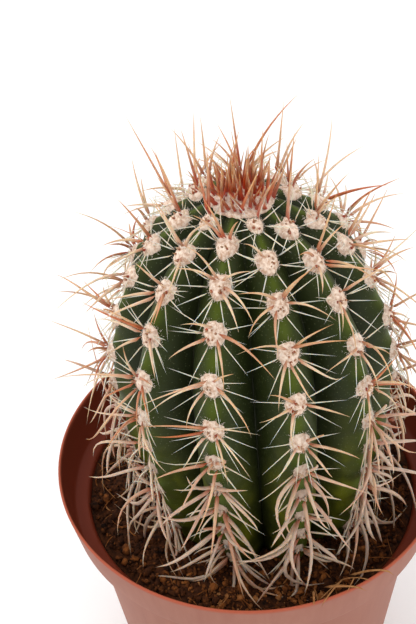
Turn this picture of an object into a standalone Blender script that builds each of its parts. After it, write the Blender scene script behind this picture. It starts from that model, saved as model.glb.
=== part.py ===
"""Young ribbed column cactus growing in a 12 cm plastic nursery pot.

Units are metres, with +Z up. The origin is the centre of the pot's flat underside.
Azimuths turn about the vertical axis, from the front (-Y) towards the right (+X).
The plant's skin is one surface, stem_skin(): a crest line of two half ellipses,
pulled in between the ribs. Every areole, the woolly cushion that a spine cluster
grows from, is laid over that surface.
"""

import math
import random

import bmesh
import bpy
import numpy as np
from mathutils import Vector

# Driving dimensions
GAP = 0.0003  # clearance between two pieces that touch on the real plant
POT_HEIGHT = 0.100
RIM_RADIUS = 0.060
COLLAR_HEIGHT = 0.0143
COLLAR_FOOT_RADIUS = 0.0577
BODY_TOP_RADIUS = 0.0530
BASE_RADIUS = 0.0442
WALL = 0.0008
BASE_THICKNESS = 0.0012
POT_STEPS = 48
DRAIN_HOLES = 6
DRAIN_RADIUS = 0.0035
DRAIN_RING_RADIUS = 0.031

SOIL_LEVEL = 0.0848  # at the pot's wall
SOIL_MOUND = 0.0022  # how much higher it lies against the stem
MOUND_START, MOUND_WIDTH = 0.028, 0.022  # distances from the stem's axis that it slopes over
SOIL_BUMP = 0.0008
SOIL_STEPS, SOIL_RINGS = 33, 6
FIRST_RING, RING_SPACING = 0.024, 0.0045

RIBS = 11
RIB_ANGLE = math.tau / RIBS
FIRST_RIB = math.radians(-19.0)
STEM_RADIUS = 0.0403  # over the crests, at the widest
WIDEST_ABOVE_RIM = 0.042
DOME_HEIGHT = 0.0575  # from the widest ring to the apex
FLANK_DEPTH = 0.088  # half height of the ellipse that narrows the stem to its foot
FOOT_DEPTH = 0.020  # how far the stem reaches into the soil
FURROW = 0.26  # a furrow's depth, as a share of the radius
FURROW_POWER = 1.8  # rounds the crest and leaves the furrow a sharp valley
ROUNDNESS = 0.968  # the stem is a little narrower from side to side
PLANT_X, PLANT_Y = 0.0029, -0.0043  # the stem's axis at the rim's height
LEAN_X, LEAN_Y = -0.0245, -0.032
COLUMNS_PER_RIB = 6
STEM_ROWS = 18

PHYLLOTAXIS = 5 / 11  # each rib's areoles start this part of a pitch further down
FIRST_AREOLE = 0.0170  # along the crest, from the apex
PITCH = 0.0100
WIDE_PITCH = 0.0039  # added to the pitch around the third areole
CUSHION_LENGTH, CUSHION_WIDTH, CUSHION_HEIGHT = 0.0072, 0.0062, 0.0022
WOOL_LIFT = 0.0004  # under the wool, a little more than GAP because its facets are coarse
WAIST = 0.3  # the wool between two cushions of one strip, as a share of a cushion
CROWN_RADIUS = 0.0125
CROWN_TOP, SINGLES_TOP, FRINGE_TOP = -0.6, 0.5, 4.5  # areole numbers
CROWN_HEIGHT = 0.0030
WORST_FIT = 0.6  # least cosine between a spine and the face it grows from
SPINE_GIRTH = 0.0006  # a spine's radius at its middle
SPINE_SPREAD = 0.5  # how far a spine's middle follows the face that it grows from
TOUCH = 1e-4  # the share of an edge or a triangle, next to its rim, where meeting another is no fault
FRINGE_FOOT = 0.006  # the lowest areole's height above the soil
OFF_SOIL, OFF_COLLAR = 0.0012, 0.0015  # a spine's clearance from the soil and the pot
ABOVE_RIM = 0.002  # higher than this over the rim, a spine may lean out past the pot
SPINE_TRIALS, SPINE_SWING = 14, math.radians(9)

RNG = random.Random(11)


def crest_table():
    """Arc length from the apex, radius and height of points down a crest line."""
    middle = POT_HEIGHT + WIDEST_ABOVE_RIM
    turn = np.linspace(0, math.pi / 2, 60)
    radius = [STEM_RADIUS * np.sin(turn)]
    height = [middle + DOME_HEIGHT * np.cos(turn)]
    down = np.linspace(0, middle - SOIL_LEVEL, 40)[1:]
    radius.append(STEM_RADIUS * np.sqrt(1 - (down / FLANK_DEPTH) ** 2))
    height.append(middle - down)
    foot = turn[1:]
    radius.append(radius[-1][-1] * np.cos(foot))
    height.append(SOIL_LEVEL - FOOT_DEPTH * np.sin(foot))
    radius, height = np.concatenate(radius), np.concatenate(height)
    steps = np.hypot(np.diff(radius), np.diff(height))
    return np.concatenate([[0], np.cumsum(steps)]), radius, height


CREST_S, CREST_R, CREST_Z = crest_table()
CREST_LENGTH = float(CREST_S[-1])


def stem_point(s, azimuth):
    """Point of the stem's skin: s along the crest line from the apex, at an azimuth."""
    radius = np.interp(s, CREST_S, CREST_R)
    height = np.interp(s, CREST_S, CREST_Z)
    rib = (azimuth - FIRST_RIB) / RIB_ANGLE
    aside = abs(2 * (rib - round(rib)))
    radius *= 1 - FURROW * aside**FURROW_POWER
    above = height - POT_HEIGHT
    x = PLANT_X + LEAN_X * above + ROUNDNESS * radius * math.sin(azimuth)
    y = PLANT_Y + LEAN_Y * above - radius * math.cos(azimuth)
    return Vector((x, y, height))


def stem_frame(s, azimuth):
    """Outward, up-the-rib and sideways unit vectors of the skin."""
    s = max(s, 0.001)
    up = stem_point(s - 0.0005, azimuth) - stem_point(s + 0.0005, azimuth)
    side = stem_point(s, azimuth + 0.01) - stem_point(s, azimuth - 0.01)
    out = side.cross(up).normalized()
    return out, up.normalized(), side.normalized()


def stem_skin(s, azimuth, lift=0.0):
    """Point that stands off the skin by lift."""
    return stem_point(s, azimuth) + lift * stem_frame(s, azimuth)[0]


def areole_place(number):
    """Arc length of an areole that is number pitches down its rib."""
    wide = WIDE_PITCH * 1.4 * math.sqrt(math.pi) / 2
    bulge = math.erf((number - 3) / 1.4) - math.erf(-3 / 1.4)
    return FIRST_AREOLE + PITCH * number + wide * bulge


def soil_top(x, y):
    """Height of the soil's surface."""
    from_stem = math.hypot(x - PLANT_X, y - PLANT_Y)
    mound = SOIL_MOUND * max(0.0, 1 - (from_stem - MOUND_START) / MOUND_WIDTH)
    bump = math.sin(410 * x + 1.3) * math.cos(350 * y) + 0.6 * math.sin(790 * (x + y))
    return SOIL_LEVEL + min(mound, SOIL_MOUND) + SOIL_BUMP * bump / 1.6


def collar_inside(z):
    """The pot's inner radius between the shelf and the rim."""
    share = (z - POT_HEIGHT + COLLAR_HEIGHT) / COLLAR_HEIGHT
    return COLLAR_FOOT_RADIUS + share * (RIM_RADIUS - COLLAR_FOOT_RADIUS) - WALL


def material(name, colour, roughness):
    made = bpy.data.materials.new(name)
    made.use_nodes = True
    shader = made.node_tree.nodes["Principled BSDF"]
    shader.inputs["Base Color"].default_value = (*colour, 1)
    shader.inputs["Roughness"].default_value = roughness
    shader.inputs["Metallic"].default_value = 0
    made.diffuse_color = (*colour, 1)
    return made


def new_object(name, bm, finish, collection):
    mesh = bpy.data.meshes.new(name)
    bm.to_mesh(mesh)
    bm.free()
    mesh.materials.append(finish)
    made = bpy.data.objects.new(name, mesh)
    collection.objects.link(made)
    return made


def as_cutter(helper):
    helper.hide_render = True
    helper.display_type = "WIRE"
    return helper


def boolean(target, helper, operation):
    modifier = target.modifiers.new(helper.name, "BOOLEAN")
    modifier.operation = operation
    modifier.object = helper
    modifier.use_self = operation == "UNION"  # crowded spines of one helper may cross


def turned(name, profile, steps, finish, collection):
    """Solid of revolution from a profile of (radius, height) that starts and ends on the axis."""
    mesh = bpy.data.meshes.new(name)
    points = [(radius, 0, height) for radius, height in profile]
    mesh.from_pydata(points, [(i, i + 1) for i in range(len(points) - 1)], [])
    mesh.materials.append(finish)
    made = bpy.data.objects.new(name, mesh)
    collection.objects.link(made)
    screw = made.modifiers.new("Screw", "SCREW")
    screw.steps = screw.render_steps = steps
    screw.use_merge_vertices = True
    screw.merge_threshold = 0.00001
    return made


def build_pot(finish, parts, cutters):
    """Thin moulded pot: a sloping body, a shelf, and a wider collar up to the rim."""
    shelf = POT_HEIGHT - COLLAR_HEIGHT
    profile = [
        (0, BASE_THICKNESS),
        (BASE_RADIUS - WALL - 0.0010, BASE_THICKNESS),
        (BASE_RADIUS - WALL, BASE_THICKNESS + 0.0010),
        (BODY_TOP_RADIUS - WALL - 0.0004, shelf - 0.0014),
        (BODY_TOP_RADIUS - WALL + 0.0004, shelf - 0.0004),
        (COLLAR_FOOT_RADIUS - WALL - 0.0008, shelf),
        (COLLAR_FOOT_RADIUS - WALL, shelf + 0.0008),
        (RIM_RADIUS - WALL, POT_HEIGHT - 0.0002),
        (RIM_RADIUS - WALL / 2, POT_HEIGHT),
        (RIM_RADIUS, POT_HEIGHT - 0.0003),
        (COLLAR_FOOT_RADIUS, shelf),
        (COLLAR_FOOT_RADIUS - 0.0006, shelf - 0.0006),
        (BODY_TOP_RADIUS + 0.0006, shelf - 0.0010),
        (BODY_TOP_RADIUS, shelf - 0.0018),
        (BASE_RADIUS, 0.0012),
        (BASE_RADIUS - 0.0010, 0),
        (0, 0),
    ]
    pot = turned("pot", profile, POT_STEPS, finish, parts)
    drills = bmesh.new()
    for i in range(DRAIN_HOLES):
        angle = math.tau * (i + 0.5) / DRAIN_HOLES
        made = bmesh.ops.create_cone(
            drills, cap_ends=True, segments=12, depth=0.01, radius1=DRAIN_RADIUS, radius2=DRAIN_RADIUS
        )
        place = Vector((DRAIN_RING_RADIUS * math.cos(angle), DRAIN_RING_RADIUS * math.sin(angle), 0))
        bmesh.ops.translate(drills, verts=made["verts"], vec=place)
    boolean(pot, as_cutter(new_object("drain_drills", drills, finish, cutters)), "DIFFERENCE")
    return pot


def in_order(bm):
    """The same mesh with its faces in a fixed order, which merged vertices don't leave them in.

    A Boolean cuts a face along other diagonals when the order changes.
    """
    loops = []
    for face in bm.faces:
        corners = [vert.index for vert in face.verts]
        first = corners.index(min(corners))
        loops.append(corners[first:] + corners[:first])
    ordered = bmesh.new()
    verts = [ordered.verts.new(vert.co) for vert in bm.verts]
    for loop in sorted(loops):
        ordered.faces.new([verts[i] for i in loop])
    bm.free()
    ordered.verts.index_update()
    ordered.normal_update()
    return ordered


def unit_ball(columns, rows):
    bm = bmesh.new()
    bmesh.ops.create_uvsphere(bm, u_segments=columns, v_segments=rows, radius=1)
    bm.verts.index_update()
    return in_order(bm)


def stem_mesh(lift):
    """The whole ribbed stem, foot included: a ball whose rows and columns are laid on the skin."""
    bm = unit_ball(RIBS * COLUMNS_PER_RIB, STEM_ROWS)
    for vert in bm.verts:
        share = math.acos(max(-1.0, min(1.0, vert.co.z))) / math.pi
        azimuth = FIRST_RIB + math.atan2(vert.co.y, vert.co.x)
        vert.co = stem_skin(share * CREST_LENGTH, azimuth, lift)
    return bm


def build_soil(finish, parts, socket):
    """Soil that fills the pot, with a lumpy top and a socket for the stem's foot."""
    slope = (BODY_TOP_RADIUS - BASE_RADIUS) / (POT_HEIGHT - COLLAR_HEIGHT)
    floor = BASE_THICKNESS + GAP
    inside = BODY_TOP_RADIUS - WALL - 0.0004 - GAP
    foot = BASE_RADIUS - WALL - 0.0010
    bm = bmesh.new()
    rings = [(0, SOIL_LEVEL)] + [(FIRST_RING + RING_SPACING * i, SOIL_LEVEL) for i in range(SOIL_RINGS)]
    rings += [(inside, SOIL_LEVEL - 0.0012), (foot + slope * floor, floor), (0, floor)]
    verts = [bm.verts.new((radius, 0, height)) for radius, height in reversed(rings)]
    edges = [bm.edges.new(pair) for pair in zip(verts, verts[1:])]
    bmesh.ops.spin(
        bm, geom=verts + edges, axis=(0, 0, 1), cent=(0, 0, 0), angle=math.tau, steps=SOIL_STEPS
    )
    bmesh.ops.remove_doubles(bm, verts=bm.verts, dist=0.00001)
    for vert in bm.verts:
        if vert.co.z > SOIL_LEVEL - 0.0001:
            vert.co.z = soil_top(vert.co.x, vert.co.y)
    bmesh.ops.recalc_face_normals(bm, faces=bm.faces)
    bm.verts.index_update()
    bm = in_order(bm)
    soil = new_object("soil", bm, finish, parts)
    boolean(soil, socket, "DIFFERENCE")
    return soil


def wool_mesh(centres, azimuth, lift, root):
    """Wool laid along a rib's crest, lift above the skin: a swelling at each centre, a waist between.

    Where root is given, a thin end of the wool runs up to it. Each ring has six points:
    two low ones and a middle one underneath, and three above.
    """
    shoulder = CUSHION_LENGTH * 0.28
    rings = [(centres[0] - CUSHION_LENGTH / 2, 0)]
    if root:
        rings = [(root, 0), ((root + centres[0] - shoulder) / 2, WAIST)]
    for i, s in enumerate(centres):
        if i:
            rings.append(((centres[i - 1] + s) / 2, WAIST))
        rings += [(s - shoulder, 1), (s + shoulder, 1)]
    rings.append((centres[-1] + CUSHION_LENGTH / 2, 0))
    bm = unit_ball(6, len(rings) - 1)
    for vert in bm.verts:
        s, share = rings[round(math.acos(max(-1.0, min(1.0, vert.co.z))) / math.pi * (len(rings) - 1))]
        turn = math.radians(30) - math.atan2(vert.co.y, vert.co.x)
        girth = (stem_point(s, azimuth) - stem_point(s, azimuth + math.pi)).length / 2
        half_angle = share * min(CUSHION_WIDTH / 2 / girth, 0.4 * RIB_ANGLE)
        around = azimuth + half_angle * math.cos(turn)
        vert.co = stem_skin(s, around, lift + share * CUSHION_HEIGHT * max(0.0, math.sin(turn)))
    bm.normal_update()
    return bm


def spine_ring(centre, normal, corners, path):
    """A spine's middle ring: the corners of a face, drawn in and turned square to the tip.

    The ring stands over the path's middle, and part of the way towards its own face.
    """
    start, middle, tip = path
    middle = middle + (centre - start) * SPINE_SPREAD
    square_on = normal.rotation_difference(tip - centre)
    return [middle + square_on @ (corner - centre).normalized() * SPINE_GIRTH for corner in corners]


def grow_spine(bm, face, path):
    """Grow one spine out of a face: through the middle of the path, to a sharp tip."""
    centre, normal = face.calc_center_median(), face.normal.copy()
    face = bmesh.ops.extrude_discrete_faces(bm, faces=[face])["faces"][0]
    ring = spine_ring(centre, normal, [vert.co for vert in face.verts], path)
    for vert, place in zip(face.verts, ring):
        vert.co = place
    bmesh.ops.poke(bm, faces=[face])["verts"][0].co = path[-1]


def spine_walls(face, path):
    """Outlines of the walls that a spine adds where it grows out of a face."""
    corners = [vert.co for vert in face.verts]
    ring = spine_ring(face.calc_center_median(), face.normal, corners, path)
    walls = []
    for i, corner in enumerate(corners):
        walls.append((corners[i - 1], corner, ring[i], ring[i - 1]))
        walls.append((ring[i - 1], ring[i], path[-1]))
    return walls


def corner_triangles(outlines):
    """Every three neighbouring corners of each outline, so that a quad counts however it is split."""
    found = [(line[i - 2], line[i - 1], line[i]) for line in outlines for i in range(len(line))]
    return np.array(found, float)


def goes_through(edged, triangles):
    """Whether an edge of the first triangles goes through one of the second, clear of its rim."""
    start = edged.reshape(-1, 1, 3)
    run = np.roll(edged, -1, axis=1).reshape(-1, 1, 3) - start
    corner, second, third = np.moveaxis(triangles, 1, 0)
    second, third, start = second - corner, third - corner, start - corner
    across_third, across_second = np.cross(run, third), np.cross(start, second)
    facing = (second * across_third).sum(-1)
    facing[facing == 0] = np.nan
    to_second = (start * across_third).sum(-1) / facing
    to_third = (run * across_second).sum(-1) / facing
    share = (third * across_second).sum(-1) / facing
    inside = (to_second > TOUCH) & (to_third > TOUCH) & (to_second + to_third < 1 - TOUCH)
    return bool((inside & (share > TOUCH) & (share < 1 - TOUCH)).any())


def spine_path(start, direction, length, droop):
    """Start, middle and tip of a spine that sags by droop, a share of its length, at the tip."""
    points = []
    for share in (0.0, 0.42, 1.0):
        sag = Vector((0, 0, -droop * length * share**2))
        points.append(start + direction * length * share + sag)
    return points


class Clearance:
    """Keeps the spines of different nodes apart, and all of them off the soil and the pot."""

    def __init__(self):
        self.owners = np.empty(0, str)
        self.spots = np.empty((0, 4))

    def add(self, owner, points, radius):
        self.owners = np.append(self.owners, [owner] * len(points))
        self.spots = np.vstack([self.spots, [(*point, radius) for point in points]])

    def free(self, owner, points, radius):
        for point in points:
            around = math.hypot(point.x, point.y)
            if point.z < soil_top(point.x, point.y) + radius + OFF_SOIL:
                return False
            if point.z < POT_HEIGHT + ABOVE_RIM and around > collar_inside(point.z) - OFF_COLLAR:
                return False
        others = self.spots[self.owners != owner]
        apart = np.linalg.norm(np.array(points)[:, None] - others[None, :, :3], axis=2)
        return bool((apart > radius + others[:, 3] + GAP).all())


def samples(path):
    """Points every eighth of each stretch of a spine."""
    return [a.lerp(b, i / 8) for a, b in zip(path, path[1:]) for i in range(1, 9)]


def place_spine(clearance, owner, start, frame, tilt, turn, length, droop):
    """A path for a spine, turned aside or shortened until it is clear of its neighbours, or None."""
    out, up, side = frame
    for trial in range(SPINE_TRIALS):
        swing = (trial + 1) // 2 * SPINE_SWING * (-1) ** trial
        lean = math.radians(tilt)
        level = up * math.cos(math.radians(turn) + swing) + side * math.sin(math.radians(turn) + swing)
        direction = out * math.cos(lean) + level * math.sin(lean)
        path = spine_path(start, direction, length * (1 - 0.03 * trial), droop)
        spots = samples(path)[2:]
        if clearance.free(owner, spots, SPINE_GIRTH):
            clearance.add(owner, spots, SPINE_GIRTH)
            return path
    return None


def spine_plan(number):
    """Tilt off the cushion, turn from the crown, length and droop of an areole's spines."""
    jitter = [RNG.uniform(-1, 1) for _ in range(16)]
    young = max(0.0, 1 - number / 3)
    old = min(1.0, max(0.0, (number - 5) / 3))
    length = 0.0175 + 0.0045 * young
    centrals = [
        (38 - 14 * young, 20 * jitter[0], length * 1.08, 0),
        (52 - 20 * young, 92 + 9 * jitter[1], length * 0.95, 0.04),
        (52 - 20 * young, -92 + 9 * jitter[2], length * 0.95, 0.04),
        (44 + 18 * old, 180 + 22 * jitter[3], length * (0.85 + 0.25 * old), 0.05 + 0.25 * old),
    ]
    radial_turns = (52, 128, -128, -52)
    if number < SINGLES_TOP:
        centrals = centrals[:3]
        radial_turns = ()
    elif number > FRINGE_TOP:
        centrals = centrals[1:]
        radial_turns = (118, -118)
    radials = [
        (76, turn + 6 * jitter[4 + i], 0.0095 + 0.001 * jitter[12 + i], 0.02)
        for i, turn in enumerate(radial_turns)
    ]
    return centrals + radials


class Areole:
    """One woolly cushion and its spines."""

    def __init__(self, rib, number):
        self.name = f"r{rib + 1:02d}_{math.ceil(number - SINGLES_TOP)}"
        self.number = number
        self.azimuth = FIRST_RIB + rib * RIB_ANGLE
        self.s = areole_place(number)
        self.frame = stem_frame(self.s, self.azimuth)
        self.seat = stem_skin(self.s, self.azimuth)
        self.paths = []

    def plan(self, clearance):
        start = self.seat + self.frame[0] * CUSHION_HEIGHT * 0.7
        for tilt, turn, length, droop in spine_plan(self.number):
            path = place_spine(clearance, self.name, start, self.frame, tilt, turn, length, droop)
            if path:
                self.paths.append(path)

    def grow(self, bm):
        """Grow the planned spines out of the faces of the wool that point most their way.

        A spine whose walls would go through the others, or through the wool, grows from its
        next best face instead.
        """
        bm.faces.index_update()
        walls = corner_triangles([[vert.co for vert in face.verts] for face in bm.faces])
        owner = np.repeat(np.arange(len(bm.faces)), [len(face.verts) for face in bm.faces])
        pairs = []
        for face in bm.faces:
            centre = face.calc_center_median()
            near = (centre - self.seat).length < CUSHION_LENGTH * 0.6
            if not near or face.normal.dot(self.frame[0]) < -0.1:
                continue
            for path in self.paths:
                toward = (path[-1] - self.seat).normalized()
                along = (centre - self.seat).normalized().dot(toward)
                if along > WORST_FIT:
                    pairs.append((along, path, face, face.index))
        pairs.sort(key=lambda pair: -pair[0])
        used = []
        for _, path, face, number in pairs:
            if path in used or number in used:
                continue
            spine = corner_triangles(spine_walls(face, path))
            others = walls[owner != number]
            if goes_through(spine, np.concatenate([others, spine])) or goes_through(others, spine):
                continue
            used += [path, number]
            walls = np.concatenate([walls, spine])
            owner = np.append(owner, [-1] * len(spine))
            grow_spine(bm, face, path)


def strip_mesh(areoles, lift=WOOL_LIFT, root=None):
    """One rib's areoles on one strip of wool."""
    bm = wool_mesh([areole.s for areole in areoles], areoles[0].azimuth, lift, root)
    for areole in areoles:
        areole.grow(bm)
    return bm


def crown_cap_mesh(clearance):
    """Wool over the apex, with the tuft of upright young spines."""
    bm = unit_ball(RIBS, 6)
    tops = [face for face in bm.faces if face.calc_center_median().z > 0]
    apex = stem_point(0, 0)
    for vert in bm.verts:
        share = math.hypot(vert.co.x, vert.co.y)
        azimuth = FIRST_RIB + math.atan2(vert.co.y, vert.co.x)
        lift = WOOL_LIFT + CROWN_HEIGHT * max(0.0, vert.co.z)
        vert.co = stem_skin(share * CROWN_RADIUS, azimuth, lift)
    tops.sort(key=lambda face: (face.calc_center_median() - apex).length)
    for i, face in enumerate(tops[: 2 * RIBS]):
        centre = face.calc_center_median()
        outward = Vector((centre.x - apex.x, centre.y - apex.y, 0))
        lean = outward * RNG.uniform(15, 45) + Vector((0, 0, 1))
        path = spine_path(centre, lean.normalized(), RNG.uniform(0.014, 0.019), 0)
        spots = samples(path)
        if clearance.free(f"tuft_{i}", spots[2:], SPINE_GIRTH):
            clearance.add(f"tuft_{i}", spots, SPINE_GIRTH)
            grow_spine(bm, face, path)
    return bm


def joined(name, meshes, finish, parts, helpers):
    """One node from overlapping closed meshes."""
    node = new_object(name, meshes[0], finish, parts)
    for i, bm in enumerate(meshes[1:]):
        helper = as_cutter(new_object(f"{name}_join_{i + 1}", bm, finish, helpers))
        boolean(node, helper, "UNION")
    return node


def main():
    for obj in list(bpy.data.objects):
        bpy.data.objects.remove(obj)
    parts = bpy.data.collections.new("potted_column_cactus")
    helpers = bpy.data.collections.new("cutters")
    for collection in (parts, helpers):
        bpy.context.scene.collection.children.link(collection)
    terracotta = material("terracotta_coloured_plastic", (0.30, 0.13, 0.09), 0.45)
    peat = material("peat_and_coir", (0.06, 0.025, 0.01), 0.95)
    skin = material("green_skin", (0.045, 0.085, 0.03), 0.5)
    spines = material("wool_and_spines", (0.62, 0.44, 0.32), 0.6)

    build_pot(terracotta, parts, helpers)
    new_object("stem", stem_mesh(0), skin, parts)
    socket = as_cutter(new_object("stem_socket", stem_mesh(GAP), skin, helpers))
    build_soil(peat, parts, socket)

    clearance = Clearance()
    ribs = []
    for rib in range(RIBS):
        number = (rib * PHYLLOTAXIS) % 1 - 1
        areoles = []
        while stem_point(areole_place(number), FIRST_RIB + rib * RIB_ANGLE).z > SOIL_LEVEL + FRINGE_FOOT:
            if number > CROWN_TOP:
                areoles.append(Areole(rib, number))
            number += 1
        ribs.append(areoles)
    every_areole = [areole for areoles in ribs for areole in areoles]
    for areole in every_areole:
        clearance.add(areole.name, [areole.seat], CUSHION_LENGTH / 2)
    for areole in every_areole:
        areole.plan(clearance)

    crown = [crown_cap_mesh(clearance)]
    for i, areoles in enumerate(ribs):
        young = [areole for areole in areoles if areole.number < SINGLES_TOP]
        old = [areole for areole in areoles if areole.number >= FRINGE_TOP]
        crown.append(strip_mesh(young, lift=2 * WOOL_LIFT, root=CROWN_RADIUS / 2))
        new_object(f"spine_fringe_r{i + 1:02d}", strip_mesh(old), spines, parts)
        for areole in areoles:
            if areole not in young + old:
                new_object(f"spine_cluster_{areole.name}", strip_mesh([areole]), spines, parts)
    joined("crown", crown, spines, parts, helpers)

    for obj in parts.objects:
        if obj.name in ("pot", "stem"):
            obj.data.shade_smooth()
            obj.data.set_sharp_from_angle(angle=math.radians(40))


main()
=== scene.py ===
"""Finished surfaces for a young ribbed column cactus in a 12 cm nursery pot.

Units are metres, with +Z up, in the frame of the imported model. Azimuths turn about
the vertical axis, from the front (-Y) towards the right (+X). The skin of the stem
is one surface, skin_point(), and every areole and spine is placed from it.
"""

import math

import bpy
import numpy as np
from mathutils import Matrix, Vector, noise


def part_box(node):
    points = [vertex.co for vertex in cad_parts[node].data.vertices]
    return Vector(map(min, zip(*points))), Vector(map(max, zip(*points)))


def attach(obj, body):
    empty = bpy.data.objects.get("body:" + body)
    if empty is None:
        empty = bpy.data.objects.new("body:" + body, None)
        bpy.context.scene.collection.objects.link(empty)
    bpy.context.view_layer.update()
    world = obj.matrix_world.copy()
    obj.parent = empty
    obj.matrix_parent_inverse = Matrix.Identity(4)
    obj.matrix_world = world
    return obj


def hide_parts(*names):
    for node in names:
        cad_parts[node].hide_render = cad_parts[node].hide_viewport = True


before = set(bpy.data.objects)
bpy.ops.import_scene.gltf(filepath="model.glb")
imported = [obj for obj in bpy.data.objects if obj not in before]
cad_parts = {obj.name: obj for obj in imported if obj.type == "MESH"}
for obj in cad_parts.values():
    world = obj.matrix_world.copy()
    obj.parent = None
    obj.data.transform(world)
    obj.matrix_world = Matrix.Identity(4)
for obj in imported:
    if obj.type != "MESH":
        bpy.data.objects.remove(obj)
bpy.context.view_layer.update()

bl_info = {
    "name": "Potted column cactus",
    "version": (1, 0, 0),
    "blender": (4, 5, 0),
    "location": "3D View > Sidebar > Cactus",
    "description": "Dresses the packed cactus, its soil and its pot",
    "category": "Object",
}

MM = 0.001
PLACE = "root"  # the one body that every piece rides on

# Sizes of the pot and the soil
RIM_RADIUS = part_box("pot")[1].x
POT_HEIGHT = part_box("pot")[1].z
COLLAR_HEIGHT = 14.3 * MM
COLLAR_FOOT_RADIUS = 57.7 * MM
BODY_TOP_RADIUS = 53.0 * MM
BASE_RADIUS = 44.2 * MM
WALL = 0.8 * MM
BASE_THICKNESS = 1.2 * MM
DRAIN_HOLES = 6
DRAIN_RADIUS = 3.5 * MM
DRAIN_RING_RADIUS = 31.0 * MM
SHELF = POT_HEIGHT - COLLAR_HEIGHT
SOIL_LEVEL = 84.8 * MM
SOIL_MOUND = 2.2 * MM
MOUND_START, MOUND_WIDTH = 28.0 * MM, 22.0 * MM
GAP = 0.3 * MM  # between the soil and what stands in it or round it
STRAYS, STRAY_TURN = 9, math.radians(22)

# The stem's shape
RIBS = 11
RIB_ANGLE = math.tau / RIBS
FIRST_RIB = math.radians(-19.0)
STEM_RADIUS = 40.3 * MM
WIDEST_ABOVE_RIM = 42.0 * MM
DOME_HEIGHT = 57.5 * MM
FLANK_DEPTH = 88.0 * MM
FOOT_DEPTH = 20.0 * MM
FURROW = 0.26
FURROW_POWER = 1.8
ROUNDNESS = 0.968
PLANT_X, PLANT_Y = 2.9 * MM, -4.3 * MM
LEAN_X, LEAN_Y = -0.0245, -0.032

# The areoles' places, counted in pitches down each rib
PHYLLOTAXIS = 5 / 11
FIRST_AREOLE = 17.0 * MM
PITCH = 10.0 * MM
WIDE_PITCH = 3.9 * MM
CROWN_TOP, SINGLES_TOP, FRINGE_TOP = -0.6, 0.5, 4.5
FRINGE_FOOT = 6.0 * MM
OLD_FROM, OLD_OVER = 4.0, 2.2
YOUNG_UNTIL = 3
FRESH_UNTIL, FRESH_OVER = 0.35, 0.6
CUSHION_LENGTH, CUSHION_WIDTH, CUSHION_HEIGHT = 6.6 * MM, 5.6 * MM, 1.7 * MM
HAIR_GIRTH, HAIR_TAPER = 0.12 * MM, 0.6
GOLDEN_ANGLE = math.radians(137.5)
TUFT_RADIUS = 8.4 * MM
# A spine is nearly straight at first and curls towards its tip. It is swollen at its foot, and
# sharp when young. Its end wears blunt.
BEND_POWER, HOOK_POWER = 2.0, 5.0
FOOT_SWELL, FOOT_REACH, FOOT_PINCH = 0.45, 0.05, 0.85
SHARP_POWER, BLUNTING = 1.5, 4.0
OFF_SOIL, OFF_POT = 0.4 * MM, 0.8 * MM


# Colours, nodes and materials


def hex_colour(code):
    """Linear RGB of an sRGB hex value."""
    shares = [int(code[i : i + 2], 16) / 255 for i in (1, 3, 5)]
    return [c / 12.92 if c <= 0.04045 else ((c + 0.055) / 1.055) ** 2.4 for c in shares]


def set_inputs(tree, node, inputs):
    """Put values or links on a node's inputs. A node that is given stands for its first output."""
    for name, value in inputs.items():
        socket = node.inputs[name]
        if isinstance(value, bpy.types.Node):
            value = value.outputs[0]
        if isinstance(value, bpy.types.NodeSocket):
            tree.links.new(value, socket)
        else:
            socket.default_value = (*value, 1) if socket.type == "RGBA" else value


def add_node(tree, kind, inputs=None, stops=(), **settings):
    """Add a node, with settings on it, values or links on its inputs, and a ramp's stops.

    On a Map Range node, input 0 is the value, 1 and 2 the range that it comes from, and
    3 and 4 the range that it goes to.
    """
    made = tree.nodes.new("ShaderNode" + kind)
    for name, value in settings.items():
        setattr(made, name, value)
    set_inputs(tree, made, inputs or {})
    for i, (place, colour) in enumerate(stops):
        elements = made.color_ramp.elements
        element = elements[i] if i < 2 else elements.new(place)
        element.position = place
        element.color = (*colour, 1)
    return made


# A Mix node's colour sockets. A material lays colours over its first one in turn, each as far
# as its share says.
MIX_A, MIX_B, MIX_RESULT = 6, 7, 2


def new_material(name, values=(), **shader_inputs):
    """A material, its tree and shader, the place in the piece, and the mesh's named values."""
    made = bpy.data.materials.new(name)
    made.use_nodes = True
    tree = made.node_tree
    shader = tree.nodes["Principled BSDF"]
    for socket, value in shader_inputs.items():
        shader.inputs[socket.replace("_", " ")].default_value = value
    place = add_node(tree, "TexCoord").outputs["Object"]
    named = [add_node(tree, "Attribute", attribute_name=v).outputs["Fac"] for v in values]
    return made, tree, shader, place, *named


def per_metre(size_mm):
    """Scale of a pattern whose features are that many millimetres apart."""
    return 1000 / size_mm


def relief(tree, place, size_mm, detail, strength, depth_mm):
    """Fine grain of that size and depth, for a shader's Normal."""
    inputs = {"Vector": place, "Scale": per_metre(size_mm), "Detail": detail}
    grain = add_node(tree, "TexNoise", inputs)
    inputs = {"Strength": strength, "Distance": depth_mm * MM, "Height": grain}
    return add_node(tree, "Bump", inputs)


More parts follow.
